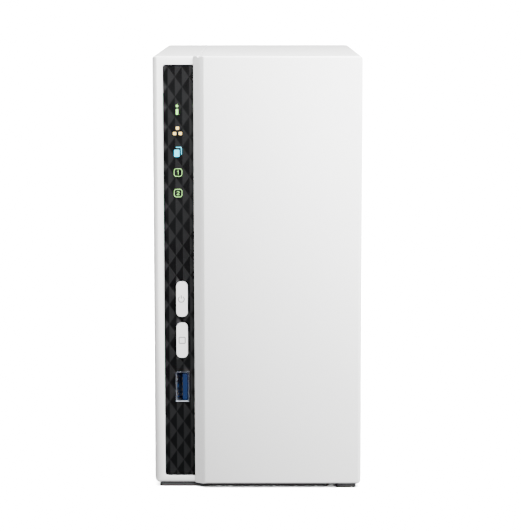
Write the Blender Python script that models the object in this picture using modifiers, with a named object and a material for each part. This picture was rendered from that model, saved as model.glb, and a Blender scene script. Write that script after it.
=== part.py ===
"""Two-bay network storage tower: shell, side cover, lit front strip, boards, drives and fan.

Lengths are in millimetres. X points right, -Y is the front and Z is up, with the floor at Z = 0.
"""
import math

import bmesh
import bpy
from mathutils import Matrix, Vector

MM = 0.001

# Whole object
LEFT, RIGHT = -45.1, 45.1
FRONT, BACK = -78.15, 78.15
BASE_Z, TOP_Z = 2.0, 188.6
WALL = 2.2
FIT = 0.3

# Shell split
FRAME_Y = FRONT + 3.5
FRAME_BACK_Y = FRAME_Y + WALL
PANEL_Y = BACK - 2.5
SHELL_BACK_Y = PANEL_Y - 0.35
SEAM_X = -25.2
COVER_LEFT_X = SEAM_X + FIT
COVER_TIP = (-27.5, FRAME_Y - FIT)
COVER_CHAMFER = (-22.9, FRONT)
COVER_PLATE_BACK_Y = FRONT + 2.4
BASE_RIGHT_X = 32.0
TOP_BAND_END_Y = 25.0
TOP_BAND_DROP = 0.45

# Front strip
STRIP_X = (-40.6, -24.5)
STRIP_Z = (4.95, 184.95)
BEZEL_Y = (-74.2, -72.2)
ICON_WINDOWS = {
    "status": (-35.35, -33.8, 163.1, 168.0),
    "network": (-36.65, -32.3, 154.45, 158.7),
    "copy": (-36.3, -32.5, 144.95, 149.8),
    "drive_1": (-36.45, -32.15, 136.3, 140.7),
    "drive_2": (-36.45, -32.15, 127.4, 131.8),
}
ICON_RADIUS = 0.6
BUTTON_X = (-35.6, -30.15)
BUTTON_Z = {"power": (75.4, 91.3), "copy": (57.3, 73.2)}
BUTTON_RADIUS = 1.8
BUTTON_PROUD = 0.8
PORT_X, PORT_Z = (-35.75, -29.95), (37.95, 51.15)
FRONT_BOARD_Y = (-64.0, -62.4)

# Feet
FOOT_TOP_Z = BASE_Z - 0.1
BASE_FOOT_X = (-43.1, 31.1)
COVER_FOOT_X = (34.3, 43.1)

# Rear panel
FAN_CENTRE = (12.0, 120.0)
FAN_SIZE = 60.0
FAN_Y = (60.4, 75.35)
FAN_BORE = 28.5
FAN_HOLE_OFFSET = 25.0
GRILLE_PITCH = 5.9
GRILLE_RINGS = 4
GRILLE_HOLE = 2.7
COVER_SCREWS = ((39.7, 182.0), (39.7, 9.0))
SCREW_SHANK, SCREW_HEAD = 1.3, 2.8
SCREW_HEAD_Y = (76.9, 78.1)
LOCK_SLOT = (-36.5, -29.5, 160.0, 163.0)

# Rear connectors, standing on the main board
CONNECTOR_X0 = -39.1
CONNECTOR_BACK_Y = 77.4
ETHERNET_X1, ETHERNET_Z = -25.6, (96.0, 112.0)
USB_X1, USB_Z = -23.5, (72.4, 85.5)
DC_X1, DC_Z = -28.1, (36.0, 46.0)
RESET_CENTRE = (-37.1, 62.0)

# Boards
MAIN_BOARD = ((-41.0, -39.4), (-56.0, 73.5), (8.0, 150.0))
DRIVE_BOARD = ((-36.0, 38.0), (-24.7, 24.7), (13.0, 14.6))

# Drives and their cage
DRIVE_X0 = (-15.3, 13.2)
DRIVE_Y, DRIVE_Z = (-48.0, 53.6), (26.0, 173.0)
CAGE_X, CAGE_Y, CAGE_Z = (-17.5, 41.5), (-50.0, 58.0), (5.0, 170.0)
CAGE_SHEET = 1.0
DRIVE_SCREW_Z = {"front": 150.0, "rear": 60.0}

# Colour, roughness and metallic of each stuff the object is made of
STUFF = {
    "white_plastic": ((0.85, 0.85, 0.84), 0.42, 0.0),
    "panel_plastic": ((0.80, 0.80, 0.79), 0.5, 0.0),
    "button_plastic": ((0.70, 0.70, 0.70), 0.4, 0.0),
    "bezel_plastic": ((0.012, 0.012, 0.013), 0.18, 0.0),
    "light_guide": ((0.75, 0.85, 0.80), 0.3, 0.0),
    "foot_rubber": ((0.04, 0.04, 0.04), 0.8, 0.0),
    "steel": ((0.62, 0.62, 0.63), 0.3, 1.0),
    "sheet_steel": ((0.50, 0.51, 0.52), 0.4, 1.0),
    "aluminium": ((0.70, 0.71, 0.72), 0.4, 1.0),
    "board_green": ((0.02, 0.14, 0.06), 0.45, 0.0),
    "black_plastic": ((0.02, 0.02, 0.02), 0.5, 0.0),
    "port_blue": ((0.01, 0.08, 0.32), 0.4, 0.0),
    "chip": ((0.03, 0.03, 0.035), 0.4, 0.0),
    "copper_winding": ((0.60, 0.28, 0.12), 0.35, 1.0),
    "cable_grey": ((0.45, 0.45, 0.46), 0.6, 0.0),
    "cable_black": ((0.02, 0.02, 0.02), 0.6, 0.0),
}


# ---------------------------------------------------------------- scene and objects

def clear_scene():
    for obj in list(bpy.data.objects):
        bpy.data.objects.remove(obj, do_unlink=True)
    for collection in list(bpy.data.collections):
        bpy.data.collections.remove(collection)


def make_collection(name):
    collection = bpy.data.collections.new(name)
    bpy.context.scene.collection.children.link(collection)
    return collection


def finish_material(name, stuff):
    colour, roughness, metallic = STUFF[stuff]
    material = bpy.data.materials.new(name)
    material.use_nodes = True
    shader = material.node_tree.nodes["Principled BSDF"]
    shader.inputs["Base Color"].default_value = (*colour, 1.0)
    shader.inputs["Roughness"].default_value = roughness
    shader.inputs["Metallic"].default_value = metallic
    material.diffuse_color = (*colour, 1.0)
    return material


def solid_to_object(name, solid, origin):
    """Turn a solid in world millimetres into an object whose origin is at the given point."""
    if origin is None:
        low = [min(vert.co[i] for vert in solid.verts) for i in range(3)]
        high = [max(vert.co[i] for vert in solid.verts) for i in range(3)]
        origin = [(low[i] + high[i]) / 2 for i in range(3)]
    bmesh.ops.translate(solid, verts=solid.verts, vec=-Vector(origin))
    bmesh.ops.scale(solid, verts=solid.verts, vec=(MM, MM, MM))
    bmesh.ops.recalc_face_normals(solid, faces=solid.faces)
    mesh = bpy.data.meshes.new(name)
    solid.to_mesh(mesh)
    solid.free()
    obj = bpy.data.objects.new(name, mesh)
    obj.location = Vector(origin) * MM
    return obj


def piece(name, stuff, solid, origin=None, smooth=False):
    obj = solid_to_object(name, solid, origin)
    obj.data.materials.append(finish_material(name, stuff))
    PIECES.objects.link(obj)
    if smooth:
        obj.data.shade_smooth()
        obj.data.set_sharp_from_angle(angle=math.radians(35))
    return obj


def combine(obj, solid, operation):
    """Boolean a helper solid into the object; the helper stays hidden in the cutters collection."""
    number = len(obj.modifiers) + 1
    helper = solid_to_object(f"{obj.name}_helper_{number}", solid, None)
    helper.hide_render = True
    helper.display_type = 'WIRE'
    CUTTERS.objects.link(helper)
    modifier = obj.modifiers.new(f"{operation.lower()}_{number}", 'BOOLEAN')
    modifier.operation = operation
    modifier.solver = 'EXACT'
    modifier.object = helper


def cut(obj, *solids):
    for solid in solids:
        combine(obj, solid, 'DIFFERENCE')


def add(obj, *solids):
    for solid in solids:
        combine(obj, solid, 'UNION')


def round_box_edges(obj, radii, segments=3):
    """Bevel chosen edges of a box; radii maps the signs of an edge's middle to its radius."""
    mesh = obj.data
    largest = max(radii.values())
    weights = mesh.attributes.new("bevel_weight_edge", 'FLOAT', 'EDGE')
    for edge in mesh.edges:
        first, second = (mesh.vertices[index].co for index in edge.vertices)
        middle = first + second
        signs = tuple(0 if abs(value) < 1e-6 else int(math.copysign(1, value)) for value in middle)
        weights.data[edge.index].value = radii.get(signs, 0.0) / largest
    bevel = obj.modifiers.new("rounded_edges", 'BEVEL')
    bevel.width = largest * MM
    bevel.segments = segments
    bevel.limit_method = 'WEIGHT'


# ---------------------------------------------------------------- solids

def box(x, y, z):
    solid = bmesh.new()
    bmesh.ops.create_cube(solid, size=1.0)
    size = Vector((x[1] - x[0], y[1] - y[0], z[1] - z[0]))
    bmesh.ops.scale(solid, verts=solid.verts, vec=size)
    centre = Vector((x[0] + x[1], y[0] + y[1], z[0] + z[1])) / 2
    bmesh.ops.translate(solid, verts=solid.verts, vec=centre)
    return solid


def turn_to_axis(solid, axis):
    """Send the local (u, v, w) axes to (y, z, x), (x, z, -y) or (x, y, z)."""
    columns = {
        "X": ((0, 1, 0), (0, 0, 1), (1, 0, 0)),
        "Y": ((1, 0, 0), (0, 0, 1), (0, -1, 0)),
        "Z": ((1, 0, 0), (0, 1, 0), (0, 0, 1)),
    }[axis]
    matrix = Matrix(columns).transposed()
    bmesh.ops.transform(solid, matrix=matrix.to_4x4(), verts=solid.verts)


def move_along(solid, axis, distance):
    direction = {"X": (1, 0, 0), "Y": (0, 1, 0), "Z": (0, 0, 1)}[axis]
    bmesh.ops.translate(solid, verts=solid.verts, vec=Vector(direction) * distance)


def cylinder(axis, centre, radius, span, segments=16):
    solid = bmesh.new()
    bmesh.ops.create_cone(
        solid, cap_ends=True, segments=segments, radius1=radius, radius2=radius,
        depth=span[1] - span[0],
    )
    bmesh.ops.translate(solid, verts=solid.verts, vec=(centre[0], centre[1], 0))
    turn_to_axis(solid, axis)
    move_along(solid, axis, (span[0] + span[1]) / 2)
    return solid


def curve_to_solid(curve):
    holder = bpy.data.objects.new("outline", curve)
    mesh = bpy.data.meshes.new_from_object(holder)
    solid = bmesh.new()
    solid.from_mesh(mesh)
    bmesh.ops.remove_doubles(solid, verts=solid.verts, dist=0.001)
    bpy.data.objects.remove(holder)
    bpy.data.curves.remove(curve)
    bpy.data.meshes.remove(mesh)
    return solid


def prism(axis, span, *outlines):
    """Sweep flat outlines along an axis; outlines inside the first one become holes."""
    curve = bpy.data.curves.new("outline", 'CURVE')
    curve.dimensions = '2D'
    curve.fill_mode = 'BOTH'
    curve.extrude = (span[1] - span[0]) / 2
    for outline in outlines:
        spline = curve.splines.new('POLY')
        spline.points.add(len(outline) - 1)
        for point, (u, v) in zip(spline.points, outline):
            point.co = (u, v, 0.0, 1.0)
        spline.use_cyclic_u = True
    solid = curve_to_solid(curve)
    turn_to_axis(solid, axis)
    move_along(solid, axis, (span[0] + span[1]) / 2)
    return solid


def together(solids):
    """Gather separate solids into one helper."""
    gathered = bmesh.new()
    mesh = bpy.data.meshes.new("gathered")
    for solid in solids:
        solid.to_mesh(mesh)
        solid.free()
        gathered.from_mesh(mesh)
    bpy.data.meshes.remove(mesh)
    return gathered


def tube(points, radius):
    curve = bpy.data.curves.new("route", 'CURVE')
    curve.dimensions = '3D'
    curve.bevel_depth = radius
    curve.bevel_resolution = 1
    curve.use_fill_caps = True
    spline = curve.splines.new('POLY')
    spline.points.add(len(points) - 1)
    for point, place in zip(spline.points, points):
        point.co = (*place, 1.0)
    return curve_to_solid(curve)


def tetrahedron(corners):
    solid = bmesh.new()
    verts = [solid.verts.new(corner) for corner in corners]
    for skipped in range(4):
        solid.faces.new([vert for index, vert in enumerate(verts) if index != skipped])
    return solid


# ---------------------------------------------------------------- outlines

def circle(centre, radius, segments=16):
    steps = (2 * math.pi * (index + 0.5) / segments for index in range(segments))
    return [(centre[0] + radius * math.cos(a), centre[1] + radius * math.sin(a)) for a in steps]


def rectangle(u0, u1, v0, v1):
    return [(u0, v0), (u1, v0), (u1, v1), (u0, v1)]


def rounded(u0, u1, v0, v1, radius, steps=3):
    corners = ((u1, v1, 0), (u0, v1, 90), (u0, v0, 180), (u1, v0, 270))
    outline = []
    for u, v, start in corners:
        centre_u = u - math.copysign(radius, u - (u0 + u1) / 2)
        centre_v = v - math.copysign(radius, v - (v0 + v1) / 2)
        for step in range(steps + 1):
            angle = math.radians(start + 90 * step / steps)
            outline.append((centre_u + radius * math.cos(angle), centre_v + radius * math.sin(angle)))
    return outline


def grown(limits, gap):
    u0, u1, v0, v1 = limits
    return (u0 - gap, u1 + gap, v0 - gap, v1 + gap)


def honeycomb(centre):
    """Centres of a six-sided patch of honeycomb cells."""
    cells = []
    for row in range(-GRILLE_RINGS, GRILLE_RINGS + 1):
        count = 2 * GRILLE_RINGS + 1 - abs(row)
        for column in range(count):
            u = centre[0] + (column - (count - 1) / 2) * GRILLE_PITCH
            v = centre[1] + row * GRILLE_PITCH * math.sqrt(3) / 2
            cells.append((u, v))
    return cells


def centre_of(limits):
    return ((limits[0] + limits[1]) / 2, (limits[2] + limits[3]) / 2)


# ---------------------------------------------------------------- housing

def make_left_shell():
    """Left wall, floor, top strip and the recessed front frame, moulded as one."""
    shell = piece("left_shell", "white_plastic",
                  box((LEFT, BASE_RIGHT_X), (FRAME_Y, SHELL_BACK_Y), (BASE_Z, TOP_Z)))
    round_box_edges(shell, {
        (-1, -1, 0): 2.0, (-1, 0, -1): 1.8, (-1, 0, 1): 1.2, (0, -1, 1): 0.9, (0, -1, -1): 0.9,
    })
    inner_z = (BASE_Z + WALL, TOP_Z - WALL)
    cut(shell,
        box((LEFT + WALL, 60), (FRAME_BACK_Y, 100), inner_z),
        box((SEAM_X, 60), (-100, 100), (inner_z[0], 220)),
        prism("Y", (-90, -70), rounded(STRIP_X[0], 0, *STRIP_Z, 1.0)))
    add(shell,
        box((-28.0, SEAM_X - 0.2), (-71.9, 75.0), (184.2, 187.0)),
        box((-26.0, -22.0), (-71.9, 75.0), (184.2, 186.1)))
    for y in (-48.0, 66.0):
        for z in (32.0, 142.0):
            add(shell, cylinder("X", (y, z), 2.5, (LEFT + 1, MAIN_BOARD[0][0] - FIT), 12))
    for x in (-24.0, 32.0 - 2.4):
        for y in (-20.0, 20.0):
            add(shell, cylinder("Z", (x, y), 2.2, (BASE_Z + 1, DRIVE_BOARD[2][0] - FIT), 12))
    for index in range(6):
        x = -14.0 + 7.0 * index
        cut(shell, prism("Z", (0, 6), rounded(x - 1.5, x + 1.5, -40.0, 40.0, 1.4)))


def make_side_cover():
    """Front plate, top and right wall in one; it slides forward off the shell."""
    cover = piece("side_cover", "white_plastic",
                  box((COVER_TIP[0], RIGHT), (FRONT, SHELL_BACK_Y), (BASE_Z, TOP_Z)))
    round_box_edges(cover, {
        (1, -1, 0): 1.5, (0, -1, 1): 0.8, (0, -1, -1): 0.9, (1, 0, -1): 1.5, (1, 0, 1): 1.2,
    })
    lip_x = COVER_LEFT_X + 0.9
    floor_x = BASE_RIGHT_X + FIT

    def inside(right_x):
        return [(-60, COVER_TIP[1]), (lip_x, COVER_TIP[1]), (lip_x, COVER_PLATE_BACK_Y),
                (right_x, COVER_PLATE_BACK_Y), (right_x, 100), (-60, 100)]

    run = (COVER_CHAMFER[0] - COVER_TIP[0], COVER_CHAMFER[1] - COVER_TIP[1])
    slope = [(COVER_CHAMFER[0] + run[0], COVER_CHAMFER[1] + run[1]),
             (COVER_TIP[0] - run[0], COVER_TIP[1] - run[1]), (-40, -90)]
    cut(cover,
        prism("Z", (BASE_Z + WALL, TOP_Z - WALL), inside(RIGHT - WALL)),
        prism("Z", (-5, BASE_Z + WALL + 0.1), inside(floor_x)),
        box((-60, COVER_LEFT_X), (COVER_TIP[1], 100), (-5, 220)),
        prism("Z", (-5, 220), slope),
        make_top_band_cutter())
    for x, z in COVER_SCREWS:
        add(cover, box((x - 3.2, RIGHT - 1), (62.0, 75.0), (z - 3.0, z + 3.0)))
        cut(cover, cylinder("Y", (x, z), 1.8, (60.0, 80.0), 12))


def make_top_band_cutter():
    """Wedge that slants the cover's top left edge, fading out towards the back."""
    corner = Vector((COVER_LEFT_X, FRONT, TOP_Z))
    face = [
        Vector((COVER_CHAMFER[0], FRONT, TOP_Z)),
        Vector((COVER_LEFT_X, FRONT, TOP_Z - TOP_BAND_DROP)),
        Vector((COVER_LEFT_X, TOP_BAND_END_Y, TOP_Z)),
    ]
    middle = sum(face, Vector()) / 3
    wide = [middle + 1.8 * (point - middle) for point in face]
    return tetrahedron([*wide, middle + 4 * (corner - middle)])


def make_rear_panel():
    """Back plate with the fan grille, connector cut-outs, lock slot and screw seats."""
    holes = [circle(cell, GRILLE_HOLE, 6) for cell in honeycomb(FAN_CENTRE)]
    for right_x, span in ((ETHERNET_X1, ETHERNET_Z), (USB_X1, USB_Z), (DC_X1, DC_Z)):
        holes.append(rectangle(CONNECTOR_X0 - FIT, right_x + FIT, span[0] - FIT, span[1] + FIT))
    holes.append(circle(RESET_CENTRE, 1.35, 12))
    holes.append(rounded(*LOCK_SLOT, 0.8))
    holes += [circle(place, 1.8, 12) for place in screw_places()]
    panel = piece("rear_panel", "panel_plastic",
                  prism("Y", (PANEL_Y, BACK), rounded(LEFT, RIGHT, BASE_Z, TOP_Z, 1.5)))
    seat_y = (SCREW_HEAD_Y[0] - 0.1, BACK + 2)
    seats = [cylinder("Y", place, SCREW_HEAD + 0.3, seat_y, 16) for place in screw_places()]
    cut(panel,
        together([prism("Y", (PANEL_Y - 2, BACK + 2), hole) for hole in holes]),
        together(seats))


def fan_screw_places():
    offset = FAN_HOLE_OFFSET
    return [(FAN_CENTRE[0] + i * offset, FAN_CENTRE[1] + k * offset)
            for k in (-1, 1) for i in (-1, 1)]


def screw_places():
    return [*COVER_SCREWS, *fan_screw_places()]


def make_panel_screws():
    names = ["cover_screw_upper", "cover_screw_lower"]
    names += [f"fan_screw_{index}" for index in range(1, 5)]
    for name, place in zip(names, screw_places()):
        inner_y = 68.0
        screw = piece(name, "steel", cylinder("Y", place, SCREW_HEAD, SCREW_HEAD_Y, 16))
        add(screw, cylinder("Y", place, SCREW_SHANK, (inner_y, SCREW_HEAD_Y[0] + 0.4), 10))
        x, z = place
        cut(screw,
            box((x - 1.8, x + 1.8), (77.5, 79.0), (z - 0.35, z + 0.35)),
            box((x - 0.35, x + 0.35), (77.5, 79.0), (z - 1.8, z + 1.8)))


def make_feet():
    rows = {"front": (-74.0, -60.0), "rear": (59.0, 73.0)}
    for row, y in rows.items():
        piece(f"base_foot_{row}", "foot_rubber",
              prism("Z", (0.0, FOOT_TOP_Z), rounded(*BASE_FOOT_X, *y, 1.5)))
    rows["front"] = (-77.0, -63.0)
    for row, y in rows.items():
        piece(f"cover_foot_{row}", "foot_rubber",
              prism("Z", (0.0, FOOT_TOP_Z), rounded(*COVER_FOOT_X, *y, 1.5)))


# ---------------------------------------------------------------- front strip

def make_bezel():
    outlines = [rounded(STRIP_X[0] + FIT, STRIP_X[1] - FIT, STRIP_Z[0] + FIT, STRIP_Z[1] - FIT, 0.8)]
    outlines += [rounded(*limits, ICON_RADIUS) for limits in ICON_WINDOWS.values()]
    for span in BUTTON_Z.values():
        outlines.append(rounded(*grown((*BUTTON_X, *span), 0.25), BUTTON_RADIUS + 0.25, 5))
    outlines.append(rounded(*grown((*PORT_X, *PORT_Z), 0.25), 0.6))
    piece("indicator_bezel", "bezel_plastic", prism("Y", BEZEL_Y, *outlines))


def make_light_guides():
    for name, limits in ICON_WINDOWS.items():
        guide = piece(f"light_guide_{name}", "light_guide",
                      prism("Y", (-74.1, -71.0), rounded(*grown(limits, -0.12), ICON_RADIUS - 0.12)))
        u, v = centre_of(limits)
        add(guide, box((u - 0.8, u + 0.8), (-71.5, FRONT_BOARD_Y[0] - FIT), (v - 1.6, v + 1.6)))


def make_buttons():
    """Capsule caps with a retaining flange behind the bezel and a stem to the switch."""
    u = (BUTTON_X[0] + BUTTON_X[1]) / 2
    for name, span in BUTTON_Z.items():
        v = (span[0] + span[1]) / 2
        limits = (*BUTTON_X, *span)
        front = BEZEL_Y[0] - BUTTON_PROUD
        button = piece(f"{name}_button", "button_plastic",
                       prism("Y", (front, -71.5), rounded(*limits, BUTTON_RADIUS, 5)))
        bevel = button.modifiers.new("soft_rim", 'BEVEL')
        bevel.width = 0.35 * MM
        bevel.segments = 2
        bevel.limit_method = 'ANGLE'
        add(button,
            prism("Y", (-71.9, -71.0), rounded(*grown(limits, 0.9), BUTTON_RADIUS + 0.9, 4)),
            cylinder("Y", (u, v), 1.1, (-71.4, -69.2), 12))
        switch = piece(f"{name}_switch", "black_plastic",
                       box((u - 3, u + 3), (-67.6, FRONT_BOARD_Y[0] - 0.15), (v - 3, v + 3)))
        add(switch, cylinder("Y", (u, v), 1.4, (-68.4, -67.0), 12))


def make_front_port():
    outer = rounded(*PORT_X, *PORT_Z, 0.5)
    inner = rounded(*grown((*PORT_X, *PORT_Z), -0.4), 0.3)
    piece("front_usb_shell", "steel", prism("Y", (-74.4, FRONT_BOARD_Y[0] - FIT), outer, inner))
    side = [(-35.1, -64.4), (-35.1, -66.6), (-32.6, -66.6), (-32.6, -73.9), (-30.7, -73.9),
            (-30.7, -64.4)]
    piece("front_usb_tongue", "port_blue", prism("Z", (38.7, 50.4), side))


def make_front_board():
    piece("front_board", "board_green", box((-42.0, -26.5), FRONT_BOARD_Y, (30.0, 172.0)))


# ---------------------------------------------------------------- boards and connectors

def make_main_board():
    piece("mainboard", "board_green", box(*MAIN_BOARD))
    piece("processor", "chip", box((-39.2, -38.0), (-5.0, 14.0), (100.0, 119.0)))
    piece("memory_chip", "chip", box((-39.2, -38.1), (30.0, 41.0), (104.0, 118.0)))
    base, tip = -37.8, -27.0
    comb = [(base, -12.0)]
    for index in range(8):
        y = -12.0 + 4.5 * index
        comb += [(tip, y), (tip, y + 1.5)]
        if index < 7:
            comb += [(base + 2.2, y + 1.5), (base + 2.2, y + 4.5)]
    comb.append((base, comb[-1][1]))
    piece("heatsink", "aluminium", prism("Z", (92.0, 127.0), comb))


def make_battery():
    centre = (-30.0, 60.0)
    holder = piece("battery_holder", "black_plastic", cylinder("X", centre, 11.4, (-39.2, -35.6), 20))
    cut(holder, cylinder("X", centre, 10.3, (-38.3, -30.0), 20))
    piece("coin_battery", "steel", cylinder("X", centre, 10.0, (-38.1, -34.9), 20), smooth=True)


def make_ethernet_jack():
    z0, z1 = ETHERNET_Z
    jack = piece("ethernet_jack", "steel",
                 box((CONNECTOR_X0, ETHERNET_X1), (56.5, CONNECTOR_BACK_Y), ETHERNET_Z))
    middle = (z0 + z1) / 2
    socket = [(-37.3, middle - 5.9), (-29.0, middle - 5.9), (-29.0, middle - 3.0),
              (-27.2, middle - 3.0), (-27.2, middle + 3.0), (-29.0, middle + 3.0),
              (-29.0, middle + 5.9), (-37.3, middle + 5.9)]
    cut(jack, prism("Y", (64.0, 80.0), socket))


def make_rear_usb():
    limits = (CONNECTOR_X0, USB_X1, *USB_Z)
    ports = [(-38.7, -33.6), (-29.0, -23.9)]
    holes = [rectangle(*port, USB_Z[0] + 0.4, USB_Z[1] - 0.4) for port in ports]
    piece("rear_usb_shell", "steel",
          prism("Y", (59.6, CONNECTOR_BACK_Y), rounded(*limits, 0.5), *holes))
    back, base, tip = 57.6, 67.0, 76.2
    side = [(-39.0, back), (-23.6, back), (-23.6, 59.3)]
    for x0, x1 in reversed(ports):
        side += [(x1 - 0.2, 59.3), (x1 - 0.2, base), (x0 + 2.3, base), (x0 + 2.3, tip),
                 (x0 + 0.4, tip), (x0 + 0.4, 59.3)]
    side.append((-39.0, 59.3))
    piece("rear_usb_insulator", "port_blue", prism("Z", (USB_Z[0] + 0.6, USB_Z[1] - 0.6), side))


def make_power_inlet():
    centre = (-33.6, (DC_Z[0] + DC_Z[1]) / 2)
    jack = piece("dc_jack", "black_plastic", box((CONNECTOR_X0, DC_X1), (64.0, CONNECTOR_BACK_Y), DC_Z))
    cut(jack, cylinder("Y", centre, 3.2, (67.5, 80.0), 20))
    piece("dc_pin", "steel", cylinder("Y", centre, 1.25, (67.7, 76.4), 12), smooth=True)


def make_reset():
    x, z = RESET_CENTRE
    piece("reset_switch", "black_plastic", box((CONNECTOR_X0, x + 2), (68.0, 72.9), (z - 2, z + 2)))
    piece("reset_plunger", "black_plastic", cylinder("Y", RESET_CENTRE, 1.0, (73.35, 77.0), 12), smooth=True)


def make_drive_board():
    piece("sata_board", "board_green", box(*DRIVE_BOARD))
    holder = piece("board_connector", "black_plastic", box((-39.1, -30.0), (-25.0, 25.0), (9.5, 18.0)))
    cut(holder, box((-36.3, -20.0), (-30.0, 30.0), (12.7, 14.9)))
    for number, x0 in enumerate(DRIVE_X0, 1):
        socket = piece(f"sata_socket_{number}", "black_plastic",
                       box((x0 + 17.5, x0 + 23.5), (-21.0, 23.0), (14.8, 25.8)))
        cut(socket, box((x0 + 19.3, x0 + 21.5), (-19.0, 21.0), (19.0, 30.0)))


# ---------------------------------------------------------------- drives

def make_drives():
    for number, x0 in enumerate(DRIVE_X0, 1):
        casting = piece(f"drive_{number}_casting", "aluminium",
                        box((x0 + 1.2, x0 + 22.5), DRIVE_Y, DRIVE_Z))
        cut(casting, box((x0 + 17.2, x0 + 40), (-20.3, 22.3), (20.0, 34.3)))
        for y in DRIVE_Y:
            z = DRIVE_SCREW_Z["front"] if y < 0 else DRIVE_SCREW_Z["rear"]
            cut(casting, cylinder("Y", (x0 + 13.0, z), 1.6, (y - 6.0, y + 6.0), 10))
        piece(f"drive_{number}_lid", "steel",
              prism("X", (x0, x0 + 1.0), rounded(-46.5, 52.1, 30.0, 171.5, 4.0)))
        board = piece(f"drive_{number}_board", "board_green",
                      box((x0 + 22.8, x0 + 24.4), (-42.0, 46.0), (26.3, 96.0)))
        add(board, box((x0 + 17.5, x0 + 23.2), (-20.0, 22.0), (26.3, 34.0)))


def make_cage():
    """Sheet-steel sleeve round both drives, on two legs with bent feet."""
    sheet = CAGE_SHEET
    inner_x = (CAGE_X[0] + sheet, CAGE_X[1] - sheet)
    inner_y = (CAGE_Y[0] + sheet, CAGE_Y[1] - sheet)
    bend_y = (inner_y[0] + 0.6, inner_y[1] - 0.6)
    cage = piece("drive_cage", "sheet_steel", box(CAGE_X, CAGE_Y, CAGE_Z))
    cut(cage,
        box(inner_x, inner_y, (-5, 220)),
        box((-60, 60), bend_y, (-5, 30.0)),
        box((-60, 60), (-36.0, 44.0), (48.0, 152.0)),
        box((-13.0, 9.0), (-60, 0), (45.0, 130.0)),
        box((15.0, 37.0), (-60, 0), (45.0, 130.0)),
        cylinder("Y", FAN_CENTRE, 27.0, (20.0, 59.0), 24))
    cut(cage, box((35.0, 60.0), (-80, 80), (-5, 16.0)))
    foot_x, foot_z = (CAGE_X[0] + 2, 33.0), (CAGE_Z[0] - 0.5, CAGE_Z[0] + 0.5)
    add(cage,
        box(foot_x, (-60.0, CAGE_Y[0] + 0.5), foot_z),
        box(foot_x, (CAGE_Y[1] - 0.5, 68.0), foot_z))
    number = 0
    for face, z in DRIVE_SCREW_Z.items():
        outer, way = (CAGE_Y[0], -1) if face == "front" else (CAGE_Y[1], 1)
        for x0 in DRIVE_X0:
            number += 1
            x = x0 + 13.0
            cut(cage, cylinder("Y", (x, z), 1.7, (outer - 3, outer + 3), 10))
            head = sorted((outer + way * 0.15, outer + way * 1.6))
            shank = sorted((outer + way * 0.6, outer - way * 4.5))
            screw = piece(f"drive_screw_{number}", "steel", cylinder("Y", (x, z), 2.9, head, 14))
            add(screw, cylinder("Y", (x, z), 1.2, shank, 8))


# ---------------------------------------------------------------- fan

def make_fan():
    x, z = FAN_CENTRE
    half = FAN_SIZE / 2
    holes = [circle(FAN_CENTRE, FAN_BORE, 32)]
    holes += [circle(place, 1.9, 10) for place in fan_screw_places()]
    frame = piece("fan_frame", "black_plastic",
                  prism("Y", FAN_Y, rounded(x - half, x + half, z - half, z + half, 3.0), *holes))
    hub_y = (73.5, 75.2)
    add(frame, cylinder("Y", FAN_CENTRE, 11.5, hub_y, 24))
    for angle in (30, 150, 270):
        add(frame, spoke(angle, (9.0, 29.5), 1.6, hub_y, 0.0))
    piece("fan_stator", "copper_winding",
          prism("Y", (63.6, 73.3), circle(FAN_CENTRE, 9.4, 20), circle(FAN_CENTRE, 1.35, 12)))
    origin = (x, 67.0, z)
    impeller = piece("fan_impeller", "black_plastic",
                     cylinder("Y", FAN_CENTRE, 13.2, (61.2, 72.9), 28), origin=origin)
    cut(impeller, cylinder("Y", FAN_CENTRE, 10.6, (62.8, 80.0), 28))
    for index in range(7):
        add(impeller, spoke(360 * index / 7, (12.3, 27.4), 1.1, (61.8, 72.3), 38.0))
    piece("fan_shaft", "steel", cylinder("Y", FAN_CENTRE, 1.0, (63.0, 72.6), 12), origin=origin,
          smooth=True)


def spoke(angle, reach, thickness, span, pitch):
    """Flat arm from the fan's middle, leaning by the pitch angle about its own length."""
    middle = (span[0] + span[1]) / 2
    length = (span[1] - span[0]) / math.cos(math.radians(pitch)) - thickness * math.sin(
        math.radians(pitch))
    arm = box(reach, (-length / 2, length / 2), (-thickness / 2, thickness / 2))
    lean = Matrix.Rotation(math.radians(pitch), 4, 'X')
    turn = Matrix.Rotation(math.radians(angle), 4, 'Y')
    place = Matrix.Translation((FAN_CENTRE[0], middle, FAN_CENTRE[1]))
    bmesh.ops.transform(arm, matrix=place @ turn @ lean, verts=arm.verts)
    return arm


# ---------------------------------------------------------------- cables

def make_cables():
    route = [(-18.4, 68.0, 94.0), (-20.5, 68.0, 93.5), (-22.5, 66.0, 92.0), (-24.5, 61.5, 91.0),
             (-27.0, 55.0, 90.0), (-30.5, 48.5, 90.0), (-34.5, 44.0, 90.0), (-37.0, 42.6, 90.0),
             (-39.1, 42.2, 90.0)]
    piece("fan_cable", "cable_black", tube(route, 1.0), smooth=True)
    inner, outer = [], []
    for step in range(9):
        angle = math.radians(90 * step / 8)
        across, along = math.cos(angle), math.sin(angle)
        inner.append((-39.1 + 7.3 * across, -62.1 + 15.8 * along))
        outer.append((-39.1 + 7.9 * across, -62.1 + 16.4 * along))
    piece("ribbon_cable", "cable_grey", prism("Z", (60.0, 72.0), inner + outer[::-1]))


# ---------------------------------------------------------------- build

clear_scene()
PIECES = make_collection("network_storage_tower")
CUTTERS = make_collection("cutters")

make_left_shell()
make_side_cover()
make_rear_panel()
make_panel_screws()
make_feet()
make_bezel()
make_light_guides()
make_buttons()
make_front_port()
make_front_board()
make_main_board()
make_battery()
make_ethernet_jack()
make_rear_usb()
make_power_inlet()
make_reset()
make_drive_board()
make_drives()
make_cage()
make_fan()
make_cables()
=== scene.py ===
"""Looks for the two-bay network storage tower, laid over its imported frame.

Helper solids are built in millimetres. X points right, -Y is the front and Z is up.
"""

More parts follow.
